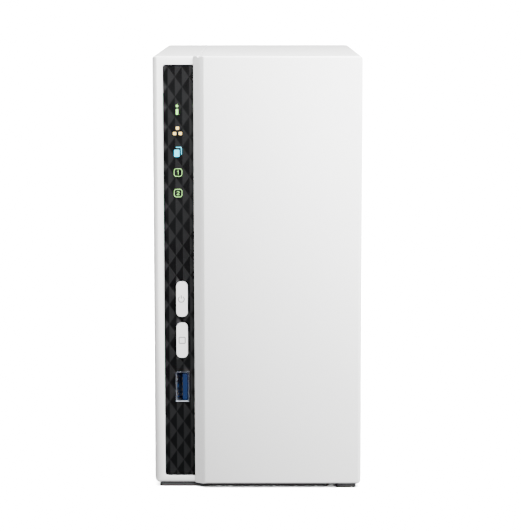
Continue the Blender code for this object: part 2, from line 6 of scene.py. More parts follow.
import math
import random

import bmesh
import bpy
from mathutils import Euler, Matrix, Vector


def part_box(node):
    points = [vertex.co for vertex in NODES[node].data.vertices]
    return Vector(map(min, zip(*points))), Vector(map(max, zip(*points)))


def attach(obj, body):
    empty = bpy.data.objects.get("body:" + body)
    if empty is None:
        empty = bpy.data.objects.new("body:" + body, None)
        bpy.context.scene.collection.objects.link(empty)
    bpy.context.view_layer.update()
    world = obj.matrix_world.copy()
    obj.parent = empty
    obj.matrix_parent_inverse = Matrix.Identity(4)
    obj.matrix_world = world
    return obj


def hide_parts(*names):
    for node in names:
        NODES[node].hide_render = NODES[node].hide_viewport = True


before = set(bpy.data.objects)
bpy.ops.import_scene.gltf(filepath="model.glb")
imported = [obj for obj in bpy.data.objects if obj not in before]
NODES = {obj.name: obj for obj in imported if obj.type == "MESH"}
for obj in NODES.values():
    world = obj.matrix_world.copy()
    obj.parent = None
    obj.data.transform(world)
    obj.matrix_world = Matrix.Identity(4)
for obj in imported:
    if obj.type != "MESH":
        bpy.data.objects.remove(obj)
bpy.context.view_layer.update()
MM = 0.001
random.seed(7)

CAMERA_PLACE = (0.00259, -0.9909, 0.2208)
CAMERA_PITCH, CAMERA_YAW, CAMERA_ROLL = 7.63, -0.073, 0.06
CAMERA_LENS = 144.5
WORLD_STRENGTH = 0.07

SATA_PITCH = 1.27
HEADER_PITCH = 2.54
FAN_MIDDLE, FAN_BLADES = (12.0, 120.0), 7

# Front strip
RELIEF_X0, RELIEF_PITCH = -38.45, 3.05
RELIEF_Z0, RELIEF_HEIGHT = 179.7, 8.6
RELIEF_LOW_Y, RELIEF_TOP_Y = -73.95, -74.4
BEZEL_BACK_Y = -72.2
ICON_Y = (-74.55, -73.0)
DRIVE_ICON_X, DRIVE_ICON_HALF = -34.25, 1.76
DIGIT_SCALE = 0.82

# Buttons: the opening in the strip, and the cap inside it
BUTTON_LIMITS = {
    "power_button": ((-35.6, -30.15), (75.4, 91.3)),
    "copy_button": ((-35.6, -30.15), (57.3, 73.2)),
}
HOLE_INSET, HOLE_RADIUS = 0.1, 2.15
CAP_INSET, CAP_RADIUS = 0.3, 2.0
FLANGE_REACH, FLANGE_RADIUS = 0.9, 3.2
POWER_SIGN_PLACE = (-33.125, 83.3)
COPY_SIGN_PLACE = (-32.875, 65.25)


def span(node):
    """The node's limits in millimetres, as (x0, x1), (y0, y1), (z0, z1)."""
    low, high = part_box(node)
    return [(low[i] / MM, high[i] / MM) for i in range(3)]


# ---- materials

class Nodes:
    """Small builder for one Principled material."""

    def __init__(self, name):
        self.material = bpy.data.materials.new(name)
        self.material.use_nodes = True
        self.tree = self.material.node_tree
        self.shader = self.tree.nodes["Principled BSDF"]
        self.place = self.tree.nodes.new("ShaderNodeTexCoord").outputs["Object"]

    def new(self, kind, **values):
        node = self.tree.nodes.new(kind)
        for key, value in values.items():
            if key in node.inputs:
                node.inputs[key].default_value = value
            else:
                setattr(node, key, value)
        return node

    def link(self, source, target):
        self.tree.links.new(source, target)

    def stretched(self, scale):
        mapping = self.new("ShaderNodeMapping", Scale=scale)
        self.link(self.place, mapping.inputs["Vector"])
        return mapping.outputs["Vector"]

    def noise(self, scale, detail=2.0, vector=None):
        noise = self.new("ShaderNodeTexNoise", Scale=scale, Detail=detail)
        self.link(vector or self.place, noise.inputs["Vector"])
        return noise.outputs["Fac"]

    def ramp(self, factor, stops):
        ramp = self.new("ShaderNodeValToRGB")
        elements = ramp.color_ramp.elements
        while len(elements) < len(stops):
            elements.new(0.5)
        for element, (position, colour) in zip(elements, stops):
            element.position = position
            element.color = (*colour, 1.0)
        self.link(factor, ramp.inputs["Fac"])
        return ramp.outputs["Color"]

    def to_range(self, factor, low, high):
        node = self.new("ShaderNodeMapRange", **{
            "From Min": 0.3, "From Max": 0.7, "To Min": low, "To Max": high})
        self.link(factor, node.inputs["Value"])
        return node.outputs["Result"]

    def bump(self, height, strength, distance):
        node = self.new("ShaderNodeBump", Strength=strength, Distance=distance)
        self.link(height, node.inputs["Height"])
        self.feed(node.outputs["Normal"], "Normal")

    def feed(self, source, name):
        """Join a node's result to one of the shader's inputs."""
        self.link(source, self.shader.inputs[name])

    def fix(self, name, value):
        """Give one of the shader's inputs a plain value."""
        self.shader.inputs[name].default_value = value


def shade(colour, factor):
    return tuple(min(1.0, max(0.0, part * factor)) for part in colour)


def plastic(name, colour, roughness, grain=0.35, bump=0.12, mottle=0.02, spread=0.05, gloss=0.5):
    """Moulded plastic: spark-eroded grain, faint flow mottling and uneven sheen."""
    build = Nodes(name)
    build.fix("Metallic", 0.0)
    build.fix("Specular IOR Level", gloss)
    tint = build.ramp(build.noise(28.0, 3.0), [
        (0.3, shade(colour, 1 - mottle)), (0.7, shade(colour, 1 + mottle)),
    ])
    build.feed(tint, "Base Color")
    sheen = build.to_range(build.noise(60.0, 4.0), roughness - spread, roughness + spread)
    build.feed(sheen, "Roughness")
    build.bump(build.noise(1000.0 / grain, 2.0), bump, grain * MM * 0.25)
    return build.material


def metal(name, colour, roughness, stretch=(1, 1, 1), grain=0.15, bump=0.1):
    """Bare or plated metal with drawn or rolled grain along the least stretched axis."""
    build = Nodes(name)
    build.fix("Metallic", 1.0)
    lines = build.stretched(stretch)
    tint = build.ramp(build.noise(1100.0, 3.0, lines), [
        (0.25, shade(colour, 0.93)), (0.75, shade(colour, 1.05)),
    ])
    build.feed(tint, "Base Color")
    sheen = build.to_range(build.noise(700.0, 3.0, lines), roughness * 0.9, roughness * 1.12)
    build.feed(sheen, "Roughness")
    build.bump(build.noise(1000.0 / grain, 2.0, lines), bump, 0.00003)
    return build.material


def circuit(name, colour, plane):
    """Solder mask over copper: bands of traces show through a little lighter."""
    build = Nodes(name)
    build.fix("Coat Weight", 0.3)
    bands = []
    for axis in plane:
        wave = build.new("ShaderNodeTexWave", bands_direction=axis, Scale=95.0, Distortion=5.0,
                         Detail=1.0, **{"Detail Scale": 0.4})
        build.link(build.place, wave.inputs["Vector"])
        bands.append(wave.outputs["Fac"])
    larger = build.new("ShaderNodeMath", operation='MAXIMUM')
    build.link(bands[0], larger.inputs[0])
    build.link(bands[1], larger.inputs[1])
    tint = build.ramp(larger.outputs["Value"], [
        (0.0, shade(colour, 0.75)), (0.9, colour), (0.95, shade(colour, 1.9)), (1.0, shade(colour, 2.1)),
    ])
    build.feed(tint, "Base Color")
    build.feed(build.to_range(build.noise(200.0), 0.28, 0.42), "Roughness")
    build.bump(larger.outputs["Value"], 0.25, 0.00004)
    return build.material


def ribbed(name, colour):
    """Flat cable: conductors side by side show as fine ridges up the cable's width, with painted shade
    darkening the troughs between them.
    """
    build = Nodes(name)
    wave = build.new("ShaderNodeTexWave", bands_direction='Z', Scale=160.0, Distortion=0.0)
    build.link(build.place, wave.inputs["Vector"])
    # Painted shade: the colour drops to 80% in the troughs, where the bump is lowest.
    tint = build.ramp(wave.outputs["Fac"], [(0.0, shade(colour, 0.8)), (0.6, colour)])
    build.feed(tint, "Base Color")
    build.feed(build.to_range(build.noise(120.0), 0.42, 0.55), "Roughness")
    build.bump(wave.outputs["Fac"], 0.5, 0.0002)
    return build.material


def glow(name, colour, strength, speckle=0.06):
    """Face that shines by itself, a little unevenly."""
    build = Nodes(name)
    build.fix("Roughness", 0.35)
    build.fix("Base Color", (*shade(colour, 0.5), 1.0))
    tint = build.ramp(build.noise(1500.0, 2.0), [
        (0.3, shade(colour, 1 - speckle)), (0.7, colour),
    ])
    build.feed(tint, "Emission Color")
    build.fix("Emission Strength", strength)
    return build.material


WHITE = plastic("housing_white", (0.80, 0.80, 0.795), 0.38, grain=0.45, bump=0.10, mottle=0.008)
PANEL_WHITE = plastic("panel_white", (0.76, 0.76, 0.755), 0.5, grain=0.5, bump=0.14, mottle=0.01)
BUTTON_GREY = plastic("button_grey", (0.66, 0.66, 0.66), 0.36, grain=0.3, bump=0.05, mottle=0.01)
SYMBOL_GREY = plastic("button_symbol_grey", (0.10, 0.10, 0.10), 0.5, grain=0.3, bump=0.05)
BEZEL_SURFACE = {"grain": 0.6, "bump": 0.02, "mottle": 0.2}
# Lit and shaded copies of one glossy black: the lighter one is a painted highlight on the right-hand
# relief facets, the darker one is painted shade on the left-hand facets.
BEZEL_PAINTED_SHADE = plastic("bezel_painted_shade", (0.0016, 0.0016, 0.0018), 0.3, **BEZEL_SURFACE, gloss=0.12)
BEZEL_PAINTED_HIGHLIGHT = plastic("bezel_painted_highlight", (0.0075, 0.0075, 0.0079), 0.32, **BEZEL_SURFACE, gloss=0.15)
RUBBER = plastic("foot_rubber", (0.022, 0.022, 0.023), 0.85, grain=0.5, bump=0.3, mottle=0.15)
BLACK = plastic("black_plastic", (0.018, 0.018, 0.019), 0.45, grain=0.3, bump=0.15, mottle=0.12)
CREAM = plastic("connector_cream", (0.62, 0.58, 0.48), 0.5, grain=0.3, bump=0.1)
CHIP = plastic("chip_resin", (0.022, 0.022, 0.024), 0.42, grain=0.12, bump=0.25, mottle=0.1)
BLUE = plastic("port_blue", (0.003, 0.012, 0.046), 0.35, grain=0.3, bump=0.06, mottle=0.05, gloss=0.2)
DEEP_BLUE = plastic("port_deep_blue", (0.05, 0.28, 0.85), 0.4, grain=0.3, bump=0.06, gloss=0.2,
                    mottle=0.05)
CERAMIC = plastic("ceramic_tan", (0.36, 0.25, 0.15), 0.5, grain=0.15, bump=0.1, mottle=0.1)
LENS_GREEN = plastic("unlit_green_lens", (0.10, 0.30, 0.10), 0.2, grain=0.3, bump=0.02)
LENS_AMBER = plastic("unlit_amber_lens", (0.42, 0.24, 0.05), 0.2, grain=0.3, bump=0.02)
WIRES = [plastic(f"wire_{name}", colour, 0.5, grain=0.4, bump=0.1, mottle=0.1) for name, colour in (
    ("black", (0.02, 0.02, 0.02)), ("red", (0.42, 0.02, 0.02)), ("yellow", (0.55, 0.38, 0.03)))]
RIBBON = ribbed("ribbon_grey", (0.46, 0.46, 0.47))
LABEL = plastic("blank_label", (0.72, 0.72, 0.70), 0.55, grain=0.8, bump=0.05, mottle=0.02)
HUB_LABEL = plastic("hub_label", (0.12, 0.12, 0.125), 0.5, grain=0.5, bump=0.1, mottle=0.1)
STEEL = metal("plated_steel", (0.66, 0.66, 0.67), 0.26)
PORT_RIM = metal("port_rim_steel", (0.42, 0.46, 0.52), 0.34)
BRIGHT_STEEL = metal("port_steel", (0.80, 0.80, 0.82), 0.22)
SHEET = metal("galvanised_sheet", (0.52, 0.53, 0.54), 0.42, stretch=(1, 1, 0.2), grain=0.4)
LID_STEEL = metal("drive_lid_steel", (0.63, 0.64, 0.65), 0.3, stretch=(1, 1, 0.08))
CAST = metal("cast_aluminium", (0.50, 0.51, 0.52), 0.5, grain=0.5, bump=0.35)
FIN_METAL = metal("extruded_aluminium", (0.66, 0.67, 0.68), 0.34, stretch=(1, 1, 0.05))
GOLD = metal("gold_contact", (0.83, 0.62, 0.27), 0.25)
COPPER = metal("copper_winding", (0.62, 0.30, 0.14), 0.32, stretch=(1, 6, 1))
SOLDER = metal("solder_tin", (0.66, 0.66, 0.66), 0.34, grain=0.3, bump=0.2)
BOARD_GREEN = (0.012, 0.115, 0.048)
BOARD_X = circuit("board_green_upright", BOARD_GREEN, "YZ")
BOARD_Y = circuit("board_green_front", BOARD_GREEN, "XZ")
BOARD_Z = circuit("board_green_flat", BOARD_GREEN, "XY")
GLOW_STATUS = glow("light_green", (0.42, 1.0, 0.24), 2.0)
GLOW_NETWORK = glow("light_amber", (1.0, 0.72, 0.25), 1.8)
GLOW_COPY = glow("light_blue", (0.03, 0.78, 1.0), 1.6)
GLOW_DRIVE = glow("light_pale_green", (0.40, 0.86, 0.25), 0.8)
GLOW_DIGIT = glow("light_dim_green", (0.36, 0.86, 0.22), 0.6)


# ---- solids in millimetres

def box(x, y, z):
    solid = bmesh.new()
    bmesh.ops.create_cube(solid, size=1.0)
    for vert in solid.verts:
        vert.co = [limits[side > 0] for limits, side in zip((x, y, z), vert.co)]
    return solid


def turn_to_axis(solid, axis):
    """Send the local (u, v, w) axes to (y, z, x), (x, z, -y) or (x, y, z)."""
    columns = {
        "X": ((0, 1, 0), (0, 0, 1), (1, 0, 0)),
        "Y": ((1, 0, 0), (0, 0, 1), (0, -1, 0)),
        "Z": ((1, 0, 0), (0, 1, 0), (0, 0, 1)),
    }[axis]
    matrix = Matrix(columns).transposed()
    bmesh.ops.transform(solid, matrix=matrix.to_4x4(), verts=solid.verts)


def move_along(solid, axis, distance):
    direction = {"X": (1, 0, 0), "Y": (0, 1, 0), "Z": (0, 0, 1)}[axis]
    bmesh.ops.translate(solid, verts=solid.verts, vec=Vector(direction) * distance)


def cylinder(axis, centre, radius, reach, segments=32, radius_2=None):
    solid = bmesh.new()
    bmesh.ops.create_cone(
        solid, cap_ends=True, segments=segments, radius1=radius,
        radius2=radius if radius_2 is None else radius_2, depth=reach[1] - reach[0],
    )
    bmesh.ops.translate(solid, verts=solid.verts, vec=(centre[0], centre[1], 0))
    turn_to_axis(solid, axis)
    move_along(solid, axis, (reach[0] + reach[1]) / 2)
    return solid


def from_curve(curve):
    """The curve's surface as a solid; the curve itself is removed."""
    holder = bpy.data.objects.new("curve_holder", curve)
    mesh = bpy.data.meshes.new_from_object(holder)
    solid = bmesh.new()
    solid.from_mesh(mesh)
    bpy.data.objects.remove(holder)
    bpy.data.curves.remove(curve)
    bpy.data.meshes.remove(mesh)
    return solid


def prism(axis, reach, *outlines):
    """Sweep flat outlines along an axis; outlines inside the first one become holes."""
    curve = bpy.data.curves.new("outline", 'CURVE')
    curve.dimensions = '2D'
    curve.fill_mode = 'BOTH'
    curve.extrude = (reach[1] - reach[0]) / 2
    for outline in outlines:
        spline = curve.splines.new('POLY')
        spline.points.add(len(outline) - 1)
        for point, (u, v) in zip(spline.points, outline):
            point.co = (u, v, 0.0, 1.0)
        spline.use_cyclic_u = True
    solid = from_curve(curve)
    bmesh.ops.remove_doubles(solid, verts=solid.verts, dist=0.001)
    turn_to_axis(solid, axis)
    move_along(solid, axis, (reach[0] + reach[1]) / 2)
    return solid


def together(solids):
    """Gather separate solids into one."""
    gathered = bmesh.new()
    mesh = bpy.data.meshes.new("gathered")
    for solid in solids:
        solid.to_mesh(mesh)
        solid.free()
        gathered.from_mesh(mesh)
    bpy.data.meshes.remove(mesh)
    return gathered


def circle(centre, radius, segments=32):
    steps = (2 * math.pi * (index + 0.5) / segments for index in range(segments))
    return [(centre[0] + radius * math.cos(a), centre[1] + radius * math.sin(a)) for a in steps]


def rounded(u0, u1, v0, v1, radius, steps=5):
    corners = ((u1, v1, 0), (u0, v1, 90), (u0, v0, 180), (u1, v0, 270))
    outline = []
    for u, v, start in corners:
        centre_u = u - math.copysign(radius, u - (u0 + u1) / 2)
        centre_v = v - math.copysign(radius, v - (v0 + v1) / 2)
        for step in range(steps + 1):
            angle = math.radians(start + 90 * step / steps)
            outline.append((centre_u + radius * math.cos(angle), centre_v + radius * math.sin(angle)))
    return outline


def to_mesh(name, solid):
    bmesh.ops.recalc_face_normals(solid, faces=solid.faces)
    bmesh.ops.scale(solid, verts=solid.verts, vec=(MM, MM, MM))
    mesh = bpy.data.meshes.new(name)
    solid.to_mesh(mesh)
    solid.free()
    return mesh


def boolean(solid, other, operation='DIFFERENCE'):
    """Both solids in millimetres; returns their combination."""
    objects = []
    for part in (solid, other):
        obj = bpy.data.objects.new("boolean_part", to_mesh("boolean_part", part))
        bpy.context.scene.collection.objects.link(obj)
        objects.append(obj)
    modifier = objects[0].modifiers.new("combine", 'BOOLEAN')
    modifier.operation = operation
    modifier.solver = 'EXACT'
    modifier.object = objects[1]
    bpy.context.view_layer.update()
    evaluated = objects[0].evaluated_get(bpy.context.evaluated_depsgraph_get())
    result = bmesh.new()
    result.from_mesh(evaluated.to_mesh())
    evaluated.to_mesh_clear()
    for obj in objects:
        mesh = obj.data
        bpy.data.objects.remove(obj)
        bpy.data.meshes.remove(mesh)
    bmesh.ops.scale(result, verts=result.verts, vec=(1 / MM, 1 / MM, 1 / MM))
    return result


def piece(name, solid, material, stands_for=(), bevel=0.0, segments=3, angle=32.0,
          body="housing"):
    """Add a finished piece that rides on a body; bevel is in millimetres."""
    obj = bpy.data.objects.new(name, to_mesh(name, solid))
    bpy.context.scene.collection.objects.link(obj)
    for each in material if isinstance(material, list) else [material]:
        obj.data.materials.append(each)
    if bevel:
        modifier = obj.modifiers.new("soft_edges", 'BEVEL')
        modifier.width = bevel * MM
        modifier.segments = segments
        modifier.limit_method = 'ANGLE'
        modifier.angle_limit = math.radians(angle)
        modifier.harden_normals = True
        modifier.use_clamp_overlap = True
    obj.data.shade_smooth()
    obj.data.set_sharp_from_angle(angle=math.radians(angle))
    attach(obj, body)
    if stands_for:
        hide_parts(*stands_for)


def node_solid(node):
    """The CAD node's surface in millimetres, with its flat facets merged into whole faces."""
    solid = bmesh.new()
    solid.from_mesh(NODES[node].data)
    bmesh.ops.scale(solid, verts=solid.verts, vec=(1 / MM, 1 / MM, 1 / MM))
    bmesh.ops.remove_doubles(solid, verts=solid.verts, dist=0.002)
    bmesh.ops.dissolve_limit(
        solid, angle_limit=math.radians(0.6), verts=solid.verts, edges=solid.edges,
    )
    for face in solid.faces:
        face.material_index = 0
    return solid


def paint(material, slot_nodes):
    for node in slot_nodes:
        obj = NODES[node]
        obj.data.materials.clear()
        obj.data.materials.append(material)


def soften(node, material, bevel, segments=2, angle=32.0, body="housing"):
    """Replace a CAD node with the same shape whose sharp edges are rounded."""
    piece(f"{node}_finished", node_solid(node), material, (node,), bevel, segments, angle, body)


# ---- housing

def make_housing():
    soften("left_shell", WHITE, 0.22)
    soften("side_cover", WHITE, 0.22, body="cover")
    soften("rear_panel", PANEL_WHITE, 0.18)
    for kind, body in (("base", "housing"), ("cover", "cover")):
        for end in ("front", "rear"):
            soften(f"{kind}_foot_{end}", RUBBER, 0.3, body=body)


# ---- front strip

def relief_slab(x, z):
    """Slab whose front is covered in staggered pyramid diamonds."""
    solid = bmesh.new()
    points = {}

    def vertex(u, v, y):
        key = (round(u, 3), round(v, 3), round(y, 3))
        if key not in points:
            points[key] = solid.verts.new((u, y, v))
        return points[key]

    half = RELIEF_HEIGHT / 2
    first = math.floor((x[0] - RELIEF_X0) / RELIEF_PITCH) - 1
    last = math.ceil((x[1] - RELIEF_X0) / RELIEF_PITCH) + 1
    rows = math.ceil((RELIEF_Z0 - z[0]) / RELIEF_HEIGHT) + 2
    for column in range(first, last + 1):
        u = RELIEF_X0 + column * RELIEF_PITCH
        start = RELIEF_Z0 - (half if column % 2 else 0.0)
        for row in range(-2, rows):
            v = start - row * RELIEF_HEIGHT
            apex = vertex(u, v, RELIEF_TOP_Y)
            rim = [vertex(u, v + half, RELIEF_LOW_Y), vertex(u + RELIEF_PITCH, v, RELIEF_LOW_Y),
                   vertex(u, v - half, RELIEF_LOW_Y), vertex(u - RELIEF_PITCH, v, RELIEF_LOW_Y)]
            for index in range(4):
                face = solid.faces.new([apex, rim[index], rim[(index + 1) % 4]])
                # Right-hand facets take the painted highlight colour, left-hand facets the painted shade
                # colour.
                face.material_index = 1 if index < 2 else 0
    bmesh.ops.recalc_face_normals(solid, faces=solid.faces)
    edges = [edge for edge in solid.edges if edge.is_boundary]
    made = bmesh.ops.extrude_edge_only(solid, edges=edges)["geom"]
    back = [item for item in made if isinstance(item, bmesh.types.BMVert)]
    for vert in back:
        vert.co.y = BEZEL_BACK_Y
    bmesh.ops.contextual_create(
        solid, geom=[item for item in made if isinstance(item, bmesh.types.BMEdge)])
    return solid


def make_bezel():
    x, _, z = span("indicator_bezel")
    slab = relief_slab(x, z)
    outlines = [rounded(*x, *z, 0.8)]
    outlines += [inset(limits, HOLE_INSET, HOLE_RADIUS) for limits in BUTTON_LIMITS.values()]
    port = span("front_usb_shell")
    outlines.append(inset((port[0], port[2]), -0.2, 0.6, 5))
    outline = prism("Y", (-80.0, BEZEL_BACK_Y + 0.01), *outlines)
    # The two bezel colours are painted shade (left-hand facets) and painted highlight (right-hand
    # facets).
    piece("bezel_relief", boolean(slab, outline, 'INTERSECT'), [BEZEL_PAINTED_SHADE, BEZEL_PAINTED_HIGHLIGHT],
          ("indicator_bezel",))


def inset(limits, distance, radius, steps=8):
    """Rounded outline a little inside the limits, or outside for a negative distance."""
    (u0, u1), (v0, v1) = limits
    return rounded(u0 + distance, u1 - distance, v0 + distance, v1 - distance, radius, steps)


def ring(centre, half, radius, width):
    limits = [(place - half, place + half) for place in centre]
    return [inset(limits, 0.0, radius), inset(limits, width, radius - width)]


def digit_one():
    """Outline about the origin, two units high."""
    return [(0, -1), (0.27, -1), (0.27, 1), (0.08, 1), (-0.48, 0.66), (-0.38, 0.43), (0, 0.62)]


def digit_two():
    """A bow over a slanting stroke and a flat foot, drawn as one band."""
    outline = []
    for step in range(9):
        angle = math.radians(170 - 205 * step / 8)
        outline.append((0.65 * math.cos(angle), 0.41 + 0.59 * math.sin(angle)))
    outline += [(-0.25, -0.74), (0.67, -0.74), (0.67, -1), (-0.69, -1), (-0.69, -0.76)]
    for step in range(7):
        angle = math.radians(-32 + 192 * step / 6)
        outline.append((0.40 * math.cos(angle), 0.40 + 0.34 * math.sin(angle)))
    return outline


def make_icons():
    status = [rounded(-34.98, -34.05, 163.45, 165.85, 0.2), rounded(-34.98, -34.05, 166.75, 167.7, 0.4)]
    squares = [(-36.3, 154.7), (-33.8, 154.7), (-35.05, 157.0)]
    network = [rounded(u, u + 1.35, v, v + 1.3, 0.28) for u, v in squares]
    sheet_behind = [(-35.1, 149.25), (-33.15, 149.25), (-32.88, 149.0), (-32.88, 146.3), (-32.6, 146.3),
                    (-32.6, 149.1), (-32.72, 149.4), (-33.05, 149.53), (-35.1, 149.53)]
    copy = [rounded(-35.85, -33.6, 145.3, 148.35, 0.35), sheet_behind]
    for name, outlines, material in (("status", status, GLOW_STATUS), ("network", network, GLOW_NETWORK),
                                     ("copy", copy, GLOW_COPY)):
        shapes = together([prism("Y", ICON_Y, outline) for outline in outlines])
        piece(f"icon_{name}", shapes, material, (f"light_guide_{name}",))
    for number, v, digit in ((1, 138.5, digit_one), (2, 129.6, digit_two)):
        outline = prism("Y", ICON_Y, *ring((DRIVE_ICON_X, v), DRIVE_ICON_HALF, 1.05, 0.21))
        piece(f"icon_drive_{number}", outline, GLOW_DRIVE,
              (f"light_guide_drive_{number}",))
        mark = [(DRIVE_ICON_X + DIGIT_SCALE * across, v + DIGIT_SCALE * up) for across, up in digit()]
        piece(f"icon_digit_{number}", prism("Y", ICON_Y, mark), GLOW_DIGIT)


def power_sign():
    """An open ring and the stroke that stands in its gap."""
    u, v = POWER_SIGN_PLACE
    arc = []
    for radius, direction in ((1.45, 1), (1.1, -1)):
        for step in range(25)[::direction]:
            angle = math.radians(125 + 290 * step / 24)
            arc.append((u + radius * math.cos(angle), v + radius * math.sin(angle)))
    return arc, rounded(u - 0.18, u + 0.18, v + 0.35, v + 1.75, 0.12)


def make_buttons():
    """Caps with a rounded rim and a symbol inlaid in the face."""
    front = span("power_button")[1][0]
    inlay = (front - 0.02, front + 0.3)
    symbols = {
        "power_button": together([prism("Y", inlay, outline) for outline in power_sign()]),
        "copy_button": prism("Y", inlay, *ring(COPY_SIGN_PLACE, 1.5, 0.45, 0.35)),
    }
    for node, limits in BUTTON_LIMITS.items():
        body = node.replace("button", "key")
        cap = prism("Y", (front, -71.5), inset(limits, CAP_INSET, CAP_RADIUS, 10))
        flange = prism("Y", (-71.9, -71.0), inset(limits, -FLANGE_REACH, FLANGE_RADIUS, 5))
        stem = cylinder("Y", [sum(limit) / 2 for limit in limits], 1.1, (-71.4, -69.2))
        solid = boolean(boolean(cap, flange, 'UNION'), stem, 'UNION')
        piece(f"{node}_cap", solid, BUTTON_GREY, (node,), 0.55, 5, 40, body)
        piece(f"{node}_symbol", symbols[node], SYMBOL_GREY, body=body)


def make_front_port():
    x, y, z = span("front_usb_shell")
    wall = 0.4
    can = prism("Y", (y[0] - 0.1, y[1]), rounded(*x, *z, 0.5), inset((x, z), wall, 0.3, 5))
    flare = bmesh.new()
    rims = []
    for step, depth in ((-0.08, y[0] - 0.3), (wall + 0.02, y[0] + 0.3)):
        rims.append([flare.verts.new((u, depth, v)) for u, v in (
            (x[0] + step, z[0] + step), (x[1] - step, z[0] + step),
            (x[1] - step, z[1] - step), (x[0] + step, z[1] - step))])
    flare.faces.new(rims[0])
    flare.faces.new(rims[1][::-1])
    for index in range(4):
        after = (index + 1) % 4
        flare.faces.new([rims[0][index], rims[0][after], rims[1][after], rims[1][index]])
    bmesh.ops.recalc_face_normals(flare, faces=flare.faces)
    piece("front_port_can", boolean(can, flare), PORT_RIM, ("front_usb_shell",),
          0.04, 2)
    springs = []
    for v in (z[0] + 3.6, z[1] - 3.6):
        for side, way in ((x[0] + wall, 1), (x[1] - wall, -1)):
            leaf = [(side, y[0] + 0.6), (side + way * 0.12, y[0] + 0.6), (side + way * 0.5, y[0] + 3.4),
                    (side + way * 0.12, y[0] + 6.5), (side, y[0] + 6.5)]
            springs.append(prism("Z", (v - 1.1, v + 1.1), leaf))
    piece("front_port_springs", together(springs), STEEL)
    paint(BLUE, ["front_usb_tongue"])
    _, tongue_y, tongue_z = span("front_usb_tongue")
    contacts = []
    for index in range(4):
        v = (z[0] + z[1]) / 2 + (index - 1.5) * 2.3
        contacts.append(box((-32.98, -32.55), (y[0] + 0.7, y[0] + 7.0), (v - 0.5, v + 0.5)))
    piece("front_port_contacts", together(contacts), GOLD)
    tip = box((-32.85, -30.65), (tongue_y[0] - 0.05, tongue_y[0] + 1.0),
              (tongue_z[0] + 0.2, tongue_z[1] - 0.2))
    piece("front_port_tongue_tip", tip, BLUE, (), 0.25, 2)
    back = box((x[0] + 0.55, x[1] - 0.55), (y[0] + 8.2, y[0] + 8.8), (z[0] + 0.6, z[1] - 0.6))
    piece("front_port_back", back, DEEP_BLUE)


# ---- fasteners

def turned(axis, centre, profile, segments=28):
    """Revolve a profile of (radius, place along the axis) points."""
    solid = bmesh.new()
    way = -1 if axis == "Y" else 1
    rings = []
    for radius, distance in profile:
        count = segments if radius else 1
        rings.append([solid.verts.new((centre[0] + radius * math.cos(2 * math.pi * index / segments),
                                       centre[1] + radius * math.sin(2 * math.pi * index / segments),
                                       way * distance)) for index in range(count)])
    for low, high in zip(rings, rings[1:]):
        for index in range(segments):
            following = (index + 1) % segments
            corners = [low[index % len(low)], low[following % len(low)],
                       high[following % len(high)], high[index % len(high)]]
            corners = list(dict.fromkeys(corners))
            if len(corners) > 2:
                solid.faces.new(corners)
    turn_to_axis(solid, axis)
    return solid


def cross_screw(axis, centre, seat, top, radius, shank, shank_end):
    """Pan-head screw with a cross recess in its domed head."""
    height = top - seat
    way = math.copysign(1.0, height)
    profile = [(0, shank_end), (shank * 0.75, shank_end), (shank, shank_end + way * 0.5),
               (shank, seat + way * 0.01), (radius, seat), (radius, seat + height * 0.3),
               (radius * 0.93, seat + height * 0.6), (radius * 0.75, seat + height * 0.85),
               (radius * 0.5, seat + height * 0.97), (0, top)]
    screw = turned(axis, centre, profile)
    floor, clear = top - height * 0.55, top + way * 0.5
    reach = sorted((floor, clear))
    u, v = centre
    arm, half = radius * 0.58, radius * 0.13
    for across, along in ((arm, half), (half, arm)):
        outline = [(u - across, v - along), (u + across, v - along),
                   (u + across, v + along), (u - across, v + along)]
        screw = boolean(screw, prism(axis, reach, outline))
    return screw


def dished(centre, face, heights, radii, segments=20):
    """Turned head or boss along X with a chamfered rim and a dished middle."""
    base, rim, top, floor = (face + height for height in heights)
    outer, shoulder, dish = radii
    return turned("X", centre, [(0, base), (outer, base), (outer, rim), (shoulder, top), (dish, top),
                                (dish - 0.1, floor), (0, floor)], segments)


def make_screws():
    rear = ["cover_screw_upper", "cover_screw_lower", *(f"fan_screw_{n}" for n in range(1, 5))]
    for node in rear:
        x, y, z = span(node)
        screw = cross_screw("Y", (sum(x) / 2, sum(z) / 2), 76.9, y[1], 2.8, 1.3, y[0])
        piece(f"{node}_turned", screw, STEEL, (node,), angle=40)
    for number in range(1, 5):
        node = f"drive_screw_{number}"
        x, y, z = span(node)
        seat, top, end = (-50.15, y[0], y[1]) if number < 3 else (58.15, y[1], y[0])
        screw = cross_screw("Y", (sum(x) / 2, sum(z) / 2), seat, top, 2.9, 1.2, end)
        piece(f"{node}_turned", screw, STEEL, (node,), angle=40)


# ---- boards

def around(centre, size):
    return centre - size / 2, centre + size / 2


def raised(axis, face, u, v, height):
    """Box standing on a board face; u and v are its spans across the face."""
    reach = tuple(sorted((face, face + height)))
    spans = {"X": (reach, u, v), "Y": (u, reach, v), "Z": (u, v, reach)}[axis]
    return box(*spans)


def legged_chip(name, axis, face, centre, size, height, legs, both_ways=False):
    """Resin chip with bent legs on two or four sides."""
    (u, v), (across, along) = centre, size
    rise = math.copysign(0.12, height)
    body = raised(axis, face + rise, around(u, across), around(v, along), height)
    piece(f"{name}_chip", body, CHIP, (), 0.1, 2)
    feet = []
    steps = [(index - (legs - 1) / 2) * 0.88 / legs for index in range(legs)]
    bends = ((1.8, height * 0.14), (0.9, height * 0.5))
    for step in steps:
        for reach, rise in bends:
            feet.append(raised(axis, face, around(u, across + reach),
                               around(v + step * along, 0.28), rise))
    if both_ways:
        for step in steps:
            for reach, rise in bends:
                feet.append(raised(axis, face, around(u + step * across, 0.28),
                                   around(v, along + reach), rise))
    piece(f"{name}_legs", together(feet), SOLDER)
    return u - across / 2 - 1, u + across / 2 + 1, v - along / 2 - 1, v + along / 2 + 1


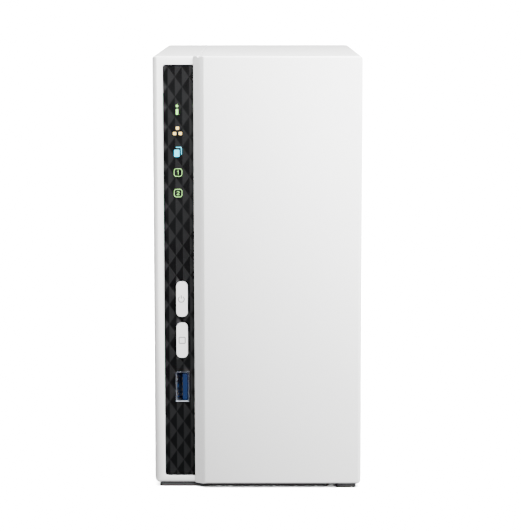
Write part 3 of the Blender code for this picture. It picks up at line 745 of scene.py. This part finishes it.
def scatter(name, axis, face, u, v, count, keep_out, height=0.55):
    """Small two-ended parts set out over a board, clear of the larger ones."""
    taken = list(keep_out)
    grey, tan, ends = [], [], []
    for _ in range(count * 5):
        if len(grey) + len(tan) >= count:
            break
        a = round(random.uniform(*u) * 2) / 2
        b = round(random.uniform(*v) * 2) / 2
        if any(a0 - 1.2 < a < a1 + 1.2 and b0 - 1.2 < b < b1 + 1.2 for a0, a1, b0, b1 in taken):
            continue
        taken.append((a - 0.6, a + 0.6, b - 0.6, b + 0.6))
        long, short = random.choice(((1.7, 0.85), (2.1, 1.25), (1.1, 0.6)))
        sizes = [(long * 0.6, short), (long, short * 0.97)]
        if random.random() >= 0.5:
            sizes = [size[::-1] for size in sizes]
        middle, tips = ((around(a, across), around(b, along)) for across, along in sizes)
        body = raised(axis, face, *middle, height)
        (grey if random.random() < 0.5 else tan).append(body)
        ends.append(raised(axis, face, *tips, height * 0.94))
    piece(f"{name}_resistors", together(grey), CHIP)
    piece(f"{name}_capacitors", together(tan), CERAMIC)
    piece(f"{name}_solder_ends", together(ends), SOLDER)


def can_capacitor(face, centre, radius, height):
    top = face + height
    return turned("X", centre, [
        (0, face), (radius, face), (radius, face + 0.7), (radius * 0.9, face + 1.1),
        (radius, face + 1.5), (radius, top - 0.4), (radius - 0.4, top), (0, top)])


def make_main_board():
    face = span("mainboard")[0][1]
    soften("mainboard", BOARD_X, 0.1)
    soften("processor", CHIP, 0.15)
    soften("memory_chip", CHIP, 0.12)
    soften("heatsink", FIN_METAL, 0.12)
    soften("battery_holder", BLACK, 0.25)
    soften("coin_battery", STEEL, 0.35, 3)
    keep_out = [(-6, 15, 90, 129), (-13, 22, 90, 129), (29, 42, 103, 119), (-42, -18, 47, 73),
                (-27, 27, 8, 20), (55, 74, 94, 114), (56, 74, 70, 88), (62, 74, 34, 48),
                (66, 74, 58, 66), (-50, -42, 57, 75), (38, 47, 84, 96)]
    cans = []
    for centre in ((52.0, 31.0), (52.0, 23.0), (44.0, 31.0), (57.0, 52.0)):
        cans.append(can_capacitor(face, centre, 3.1, 7.8))
        keep_out.append((*around(centre[0], 8), *around(centre[1], 8)))
    piece("board_can_capacitors", together(cans), FIN_METAL, angle=50)
    coils = [prism("X", (face, face + 3.4), rounded(*around(y, 6.8), *around(z, 6.8), 1.4))
             for y, z in ((44.0, 60.0), (44.0, 69.0), (33.0, 90.0))]
    piece("board_inductors", together(coils), BLACK, (), 0.4)
    keep_out += [(40, 48, 56, 73), (29, 37, 86, 94)]
    for index, (centre, size, height, legs, both) in enumerate((
            ((8.0, 62.0), (12.0, 12.0), 1.1, 16, True), ((-34.0, 104.0), (5.2, 5.2), 1.3, 4, False),
            ((-34.0, 120.0), (5.2, 5.2), 1.3, 4, False), ((28.0, 40.0), (9.0, 9.0), 0.9, 12, True),
            ((48.0, 128.0), (9.0, 9.0), 0.9, 12, True), ((-44.0, 36.0), (3.9, 4.9), 1.2, 4, False),
            ((34.0, 136.0), (3.9, 4.9), 1.2, 4, False))):
        keep_out.append(legged_chip(f"board_{index + 1}", "X", face, centre, size, height, legs, both))
    crystals = [prism("X", (face, face + 3.2), rounded(*around(y, 10.4), *around(z, 4.2), 2.0))
                for y, z in ((-14.0, 82.0), (54.0, 118.5))]
    piece("board_crystals", together(crystals), BRIGHT_STEEL, (), 0.35)
    keep_out += [(-20, -8, 79, 85), (48, 60, 115, 122)]
    base = raised("X", face, (-52.4, -47.4), (128.0, 140.7), 2.4)
    piece("board_header_base", base, BLACK, (), 0.2)
    pins = [raised("X", face, around(y, 0.62), around(129.3 + HEADER_PITCH * row, 0.62), 8.0)
            for y in (-51.17, -48.63) for row in range(5)]
    piece("board_header_pins", together(pins), GOLD, (), 0.1, 1)
    keep_out.append((-54, -46, 127, 142))
    plug = raised("X", face, (39.6, 44.8), (87.0, 93.0), 5.6)
    piece("fan_header", plug, CREAM, (), 0.3)
    latch = together([raised("X", face, (-48.4, -44.4), (58.8, 73.2), 2.0),
                      raised("X", face, (-44.4, -43.4), (58.4, 73.6), 1.5)])
    piece("ribbon_socket", latch, CREAM, (), 0.15)
    pads = [turned("X", (y, z), [(0, face), (3.2, face), (3.2, face + 0.06), (1.6, face + 0.06),
                                 (1.5, face + 0.02), (0, face + 0.02)])
            for y in (-52.0, 69.0) for z in (12.5, 146.0)]
    piece("board_ground_pads", together(pads), SOLDER)
    keep_out += [(*around(y, 8), *around(z, 8)) for y in (-52, 69) for z in (12.5, 146)]
    scatter("board", "X", face, (-54, 71), (11, 148), 190, keep_out)


def make_front_board():
    front, back = span("front_board")[1]
    soften("front_board", BOARD_Y, 0.1)
    socket = raised("Y", back, (-34.2, -29.6), (58.8, 73.2), 2.2)
    piece("front_board_socket", socket, CREAM, (), 0.15)
    lamps = [raised("Y", front, around(-34.5, 1.6), around(z, 0.9), -0.25)
             for z in (165.5, 156.6, 147.4, 138.5, 129.6)]
    piece("front_board_lamps", together(lamps), CREAM)
    keep_out = [(-36, -28, 56, 76)]
    keep_out.append(legged_chip("front_board", "Y", back, (-34.0, 108.0), (5.0, 5.0), 1.2, 4))
    scatter("front_board", "Y", back, (-40.5, -28), (33, 169), 34, keep_out)
    for node, z in (("power_switch", 83.35), ("copy_switch", 65.25)):
        soften(node, BLACK, 0.15)
        x, y, _ = span(node)
        knob = cylinder("Y", (sum(x) / 2, z), 1.2, (y[0] - 0.15, y[0] + 0.1))
        piece(f"{node}_knob", knob, CREAM, (), 0.05)


def make_drive_board():
    face = span("sata_board")[2][1]
    soften("sata_board", BOARD_Z, 0.1)
    soften("board_connector", BLACK, 0.2)
    for number in (1, 2):
        soften(f"sata_socket_{number}", BLACK, 0.2)
        x, y, z = span(f"sata_socket_{number}")
        fingers = [box((x[0] + 1.75, x[0] + 1.95), around(y[0] + 3.0 + SATA_PITCH * index, 0.6),
                       (z[0] + 4.4, z[1] - 0.1))
                   for index in range(22) if index != 7]
        piece(f"sata_contacts_{number}", together(fingers), GOLD)
    rows = [box((-36.25, -30.2), around(-22.0 + 1.0 * index, 0.5), (14.95, 15.15)) for index in range(45)]
    piece("board_connector_contacts", together(rows), GOLD)
    keep_out = [(1, 10, -23, 25), (29, 38, -23, 25)]
    keep_out.append(legged_chip("drive_board", "Z", face, (-16.0, 4.0), (5.0, 5.0), 1.2, 4))
    scatter("drive_board", "Z", face, (-27, 27), (-22, 22), 26, keep_out)


# ---- drives

def make_drives():
    for number in (1, 2):
        name = f"drive_{number}"
        lid, casting, board = (span(f"{name}_{part}") for part in ("lid", "casting", "board"))
        soften(f"{name}_lid", LID_STEEL, 0.3, 3)
        soften(f"{name}_casting", CAST, 0.5, 3)
        soften(f"{name}_board", BOARD_X, 0.1)
        left = lid[0][0]
        screws = [dished(centre, left, (0.2, -0.2, -0.45, -0.2), (2.0, 1.6, 0.9)) for centre in (
            (-42, 34.5), (47.5, 34.5), (-42, 167), (47.5, 167), (-43, 100), (48.5, 100))]
        piece(f"{name}_lid_screws", together(screws), STEEL)
        piece(f"{name}_label", prism("X", (left - 0.12, left), rounded(-36, 42, 60, 158, 2.0)),
              LABEL)
        face = casting[0][1]
        hub = turned("X", (3.0, 128.0), [(radius, face + height) for radius, height in (
            (0, -1), (24.0, -1), (24.0, 0.7), (22.8, 0.9), (22.0, 0.4), (12.5, 0.4),
            (12.0, 1.1), (5.0, 1.1), (4.6, 0.5), (0, 0.5))], 56)
        ribs = [box((face - 0.5, face + 0.7), around(y, 2.2), (104.0, 166.0)) for y in (-34.0, 39.0)]
        ribs += [box((face - 0.5, face + 0.7), (-43.0, 48.0), around(z, 2.0)) for z in (101.5, 162.0)]
        ribs += [dished((y, z), face, (-0.5, 1.0, 1.3, 0.2), (3.6, 3.2, 1.5), 24)
                 for z in (168.0, 108.0) for y in (-41.0, 46.5)]
        piece(f"{name}_hub", hub, CAST, (), 0.12, 2, 40)
        piece(f"{name}_ribs", together(ribs), CAST, (), 0.3, 2, 40)
        face = board[0][1]
        keep_out = []
        for index, (centre, size, legs) in enumerate((
                ((-12.0, 70.0), (13.0, 13.0), 18), ((16.0, 78.0), (8.0, 11.0), 12),
                ((26.0, 54.0), (7.0, 7.0), 10))):
            keep_out.append(
                legged_chip(f"{name}_{index + 1}", "X", face, centre, size, 0.9, legs, index != 1))
        heads = [dished((y, z), face, (0, 0.3, 0.75, 0.4), (2.6, 2.2, 0.9))
                 for z in (92.0, 40.0) for y in (-38.0, 42.0)]
        piece(f"{name}_board_screws", together(heads), STEEL)
        keep_out += [(*around(y, 8), *around(z, 8)) for y in (-38, 42) for z in (40, 92)]
        scatter(name, "X", face, (-39, 43), (38, 94), 60, keep_out)
        strip = [box((casting[0][0] + 4.0, casting[0][1] - 5.5), (-48.1, -47.9), (62.0, 122.0))]
        piece(f"{name}_edge_label", together(strip), LABEL)


def make_cage():
    soften("drive_cage", SHEET, 0.22)


# ---- fan

def fan_blade(turn):
    """Thin curved blade, steep at the hub and flatter towards its swept tip."""
    solid = bmesh.new()
    layers = []
    across, along = 8, 7
    for side in (1, -1):
        grid = []
        for step in range(along):
            share = step / (along - 1)
            radius = 12.6 + 14.6 * share
            chord = 12.6 + 5.6 * share
            pitch = math.asin(10.0 / chord)
            row = []
            for index in range(across):
                place = index / (across - 1) - 0.5
                bow = 1.5 * (0.25 - place * place)
                thick = side * (0.18 + 1.3 * (0.25 - place * place))
                tangent = place * chord * math.cos(pitch) + (bow + thick) * math.sin(pitch)
                axial = place * chord * math.sin(pitch) - (bow + thick) * math.cos(pitch)
                angle = turn + tangent / radius + math.radians(9) * share
                row.append(solid.verts.new((FAN_MIDDLE[0] + radius * math.cos(angle), 67.0 + axial,
                                            FAN_MIDDLE[1] + radius * math.sin(angle))))
            grid.append(row)
        layers.append(grid)
    upper, lower = layers
    for grid in layers:
        for a in range(along - 1):
            for b in range(across - 1):
                solid.faces.new([grid[a][b], grid[a + 1][b], grid[a + 1][b + 1], grid[a][b + 1]])
    rim = [(a, 0) for a in range(along)] + [(along - 1, b) for b in range(1, across)]
    rim += [(a, across - 1) for a in range(along - 2, -1, -1)]
    rim += [(0, b) for b in range(across - 2, 0, -1)]
    for (a, b), (c, d) in zip(rim, rim[1:] + rim[:1]):
        solid.faces.new([upper[a][b], upper[c][d], lower[c][d], lower[a][b]])
    return solid


def make_fan():
    soften("fan_frame", BLACK, 0.45, 3)
    blades = [fan_blade(2 * math.pi * index / FAN_BLADES) for index in range(FAN_BLADES)]
    cup = turned("Y", FAN_MIDDLE, [
        (0, 61.2), (11.8, 61.2), (12.8, 61.5), (13.2, 62.3), (13.2, 72.9), (10.6, 72.9),
        (10.6, 62.8), (0, 62.8)], 56)
    piece("fan_rotor_moulding", together([cup, *blades]), BLACK,
          ("fan_impeller",), angle=40, body="fan_rotor")
    paint(COPPER, ["fan_stator"])
    paint(STEEL, ["fan_shaft"])
    piece("fan_hub_label", cylinder("Y", FAN_MIDDLE, 8.6, (75.1, 75.26), 48), HUB_LABEL)


# ---- rear sockets

def make_rear_sockets():
    soften("ethernet_jack", BRIGHT_STEEL, 0.25)
    x, _, z = span("ethernet_jack")
    middle = sum(z) / 2
    wires = []
    for index in range(8):
        v = middle + (index - 3.5) * 1.02
        wires.append(prism("Z", around(v, 0.42), [
            (-37.25, 76.3), (-37.0, 76.5), (-34.6, 68.6), (-34.9, 68.5)]))
    piece("network_socket_contacts", together(wires), GOLD)
    deep = (64.1, 77.1)
    liner = [box(u, y, (middle + low, middle + high)) for u, y, low, high in (
        ((-37.28, -37.05), deep, -5.85, 5.85), ((-37.2, -29.05), deep, -5.88, -5.6),
        ((-37.2, -29.05), deep, 5.6, 5.88), ((-29.3, -29.05), deep, -5.6, -3.1),
        ((-29.3, -29.05), deep, 3.1, 5.6), ((-37.2, -27.3), (64.02, 64.4), -2.9, 2.9),
        ((-37.2, -29.1), (64.03, 64.4), -5.6, 5.6))]
    piece("network_socket_liner", together(liner), BLACK)
    for name, material, v in (("green", LENS_GREEN, middle - 4.9), ("amber", LENS_AMBER, middle + 4.9)):
        lamp = prism("Y", (76.0, 77.5), rounded(-28.3, -26.3, v - 1.4, v + 1.4, 0.35))
        piece(f"network_lamp_{name}", lamp, material, (), 0.12, 2)
    tabs = [box((x[0] + 0.6, x[1] - 0.9), (77.3, 77.46), around(v, 0.5))
            for v in (z[0] + 0.6, z[1] - 0.6)]
    piece("network_socket_tabs", together(tabs), BRIGHT_STEEL, (), 0.1, 1)

    soften("rear_usb_shell", BRIGHT_STEEL, 0.16)
    soften("rear_usb_insulator", BLUE, 0.18)
    middle = sum(span("rear_usb_shell")[2]) / 2
    contacts, springs = [], []
    for port in ((-38.7, -33.6), (-29.0, -23.9)):
        for index in range(4):
            v = middle + (index - 1.5) * 2.4
            contacts.append(box((port[0] + 2.28, port[0] + 2.42), (69.0, 75.6), around(v, 1.0)))
        for v in (middle - 3.2, middle + 3.2):
            for wall, way in ((port[0], 1), (port[1], -1)):
                leaf = [(wall, 76.4), (wall + way * 0.1, 76.4), (wall + way * 0.35, 73.4),
                        (wall + way * 0.1, 70.4), (wall, 70.4)]
                springs.append(prism("Z", around(v, 2.0), leaf))
    piece("rear_port_contacts", together(contacts), GOLD)
    piece("rear_port_springs", together(springs), STEEL)

    soften("dc_jack", BLACK, 0.3)
    centre = (-33.6, 41.0)
    paint(BRIGHT_STEEL, ["dc_pin"])
    sleeve = prism("Y", (68.0, 76.6), circle(centre, 3.17, 40), circle(centre, 2.9, 40))
    piece("power_socket_sleeve", sleeve, BRIGHT_STEEL)
    soften("reset_switch", BLACK, 0.2)
    soften("reset_plunger", BLACK, 0.2, body="reset_key")


# ---- cables

def strand(route, radius):
    """Round wire along a route of points."""
    curve = bpy.data.curves.new("wire", 'CURVE')
    curve.dimensions = '3D'
    curve.bevel_depth = radius
    curve.bevel_resolution = 4
    curve.use_fill_caps = True
    spline = curve.splines.new('NURBS')
    spline.points.add(len(route) - 1)
    for point, place in zip(spline.points, route):
        point.co = (*place, 1.0)
    spline.use_endpoint_u = True
    spline.order_u = 4
    return from_curve(curve)


def make_cables():
    route = [(-18.4, 68.0, 94.0), (-20.5, 68.0, 93.5), (-22.5, 66.0, 92.0), (-24.5, 61.5, 91.0),
             (-27.0, 55.0, 90.0), (-30.5, 48.5, 90.0), (-34.5, 44.0, 90.0), (-37.0, 42.6, 90.0),
             (-39.1, 42.2, 90.0)]
    for index, material in enumerate(WIRES):
        path = []
        for step, (x, y, z) in enumerate(route):
            angle = 2 * math.pi * index / len(WIRES) + step * 0.9
            path.append((x, y + 0.52 * math.cos(angle), z + 0.52 * math.sin(angle)))
        wire = strand(path, 0.46)
        stands_for = ("fan_cable",) if index == 0 else ()
        piece(f"fan_wire_{index + 1}", wire, material, stands_for, angle=60)
    soften("ribbon_cable", RIBBON, 0.05, 1, 50)


# ---- stage

def staged(name, solid, material, unseen_by):
    """Add a studio object, in metres, that the named kinds of ray pass by."""
    mesh = bpy.data.meshes.new(name)
    solid.to_mesh(mesh)
    solid.free()
    obj = bpy.data.objects.new(name, mesh)
    bpy.context.scene.collection.objects.link(obj)
    obj.data.materials.append(material)
    obj.data.shade_smooth()
    for kind in unseen_by:
        setattr(obj, f"visible_{kind}", False)
    return obj


def make_floor():
    """Paper that lies flat under the object and curves up behind it."""
    floor = bmesh.new()
    profile = [(-3.0, 0.0), (2.2, 0.0)]
    for step in range(1, 13):
        angle = math.radians(90 * step / 12)
        profile.append((2.2 + 1.2 * math.sin(angle), 1.2 - 1.2 * math.cos(angle)))
    profile.append((3.4, 5.0))
    rows = [[floor.verts.new((x, y, z)) for y, z in profile] for x in (-5.0, 5.0)]
    for index in range(len(profile) - 1):
        floor.faces.new([rows[0][index], rows[1][index], rows[1][index + 1], rows[0][index + 1]])
    paper = plastic("studio_paper", (0.92, 0.92, 0.92), 0.8, bump=0.0, mottle=0.002)
    return staged("studio_floor", floor, paper, ("diffuse", "glossy"))


def make_surround():
    """Plain white dome far behind the floor, seen only past the floor's edges."""
    dome = bmesh.new()
    bmesh.ops.create_uvsphere(dome, u_segments=32, v_segments=16, radius=8.5)
    white = glow("studio_white", (1.0, 1.0, 1.0), 8.0, 0.002)
    white.cycles.emission_sampling = 'NONE'
    staged("studio_surround", dome, white, ("diffuse", "glossy", "transmission", "shadow"))


def add_light(name, place, target, size, power, receivers=None):
    light = bpy.data.lights.new(name, 'AREA')
    light.shape = 'RECTANGLE'
    light.size, light.size_y = size
    light.energy = power
    obj = bpy.data.objects.new(name, light)
    obj.location = place
    obj.rotation_euler = (Vector(target) - Vector(place)).to_track_quat('-Z', 'Y').to_euler()
    obj.visible_camera = False
    bpy.context.scene.collection.objects.link(obj)
    if receivers:
        obj.light_linking.receiver_collection = receivers


def make_lights(floor):
    upper = (0, -0.05, 0.15)
    low = (0, 0, 0.07)
    for name, place, power in (
            ("key_light", (0.293, -0.219, 0.553), 15.6),
            ("front_high_light", (0.116, -0.368, 0.553), 8.6),
            ("front_low_light", (0.186, -0.562, 0.197), 4.4),
            ("right_low_light", (0.472, -0.322, 0.197), 2.2)):
        add_light(name, place, upper, (0.25, 0.25), power)
    add_light("left_back_light", (-1.2, 0.7, 0.07), low, (1.0, 0.2), 26)
    add_light("right_back_light", (1.2, 0.7, 0.07), low, (0.9, 0.2), 13)
    add_light("back_light", (-0.2, 1.4, 0.07), low, (1.0, 0.2), 24)
    studio = bpy.data.collections.new("studio")
    bpy.context.scene.collection.children.link(studio)
    studio.objects.link(floor)
    add_light("floor_light", (0.0, 0.3, 3.5), (0, 0.3, 0), (4.0, 4.0), 1500, studio)
    add_light("backdrop_light", (0.0, -0.5, 2.2), (0, 3.4, 1.6), (4.0, 2.0), 4200, studio)
    world = bpy.data.worlds.new("studio")
    world.use_nodes = True
    background = world.node_tree.nodes["Background"]
    background.inputs["Color"].default_value = (1.0, 1.0, 1.0, 1.0)
    background.inputs["Strength"].default_value = WORLD_STRENGTH
    bpy.context.scene.world = world


def make_camera():
    camera = bpy.data.cameras.new("camera")
    camera.lens = CAMERA_LENS
    camera.sensor_width = 36.0
    camera.clip_start = 0.05
    camera.clip_end = 50.0
    obj = bpy.data.objects.new("camera", camera)
    obj.location = CAMERA_PLACE
    obj.rotation_euler = Euler((math.radians(90 - CAMERA_PITCH), math.radians(CAMERA_ROLL),
                                math.radians(-CAMERA_YAW)), 'XYZ')
    bpy.context.scene.collection.objects.link(obj)
    bpy.context.scene.camera = obj


make_camera()
studio_floor = make_floor()
make_surround()
make_lights(studio_floor)
make_housing()
make_bezel()
make_icons()
make_buttons()
make_front_port()
make_screws()
make_main_board()
make_front_board()
make_drive_board()
make_drives()
make_cage()
make_fan()
make_rear_sockets()
make_cables()
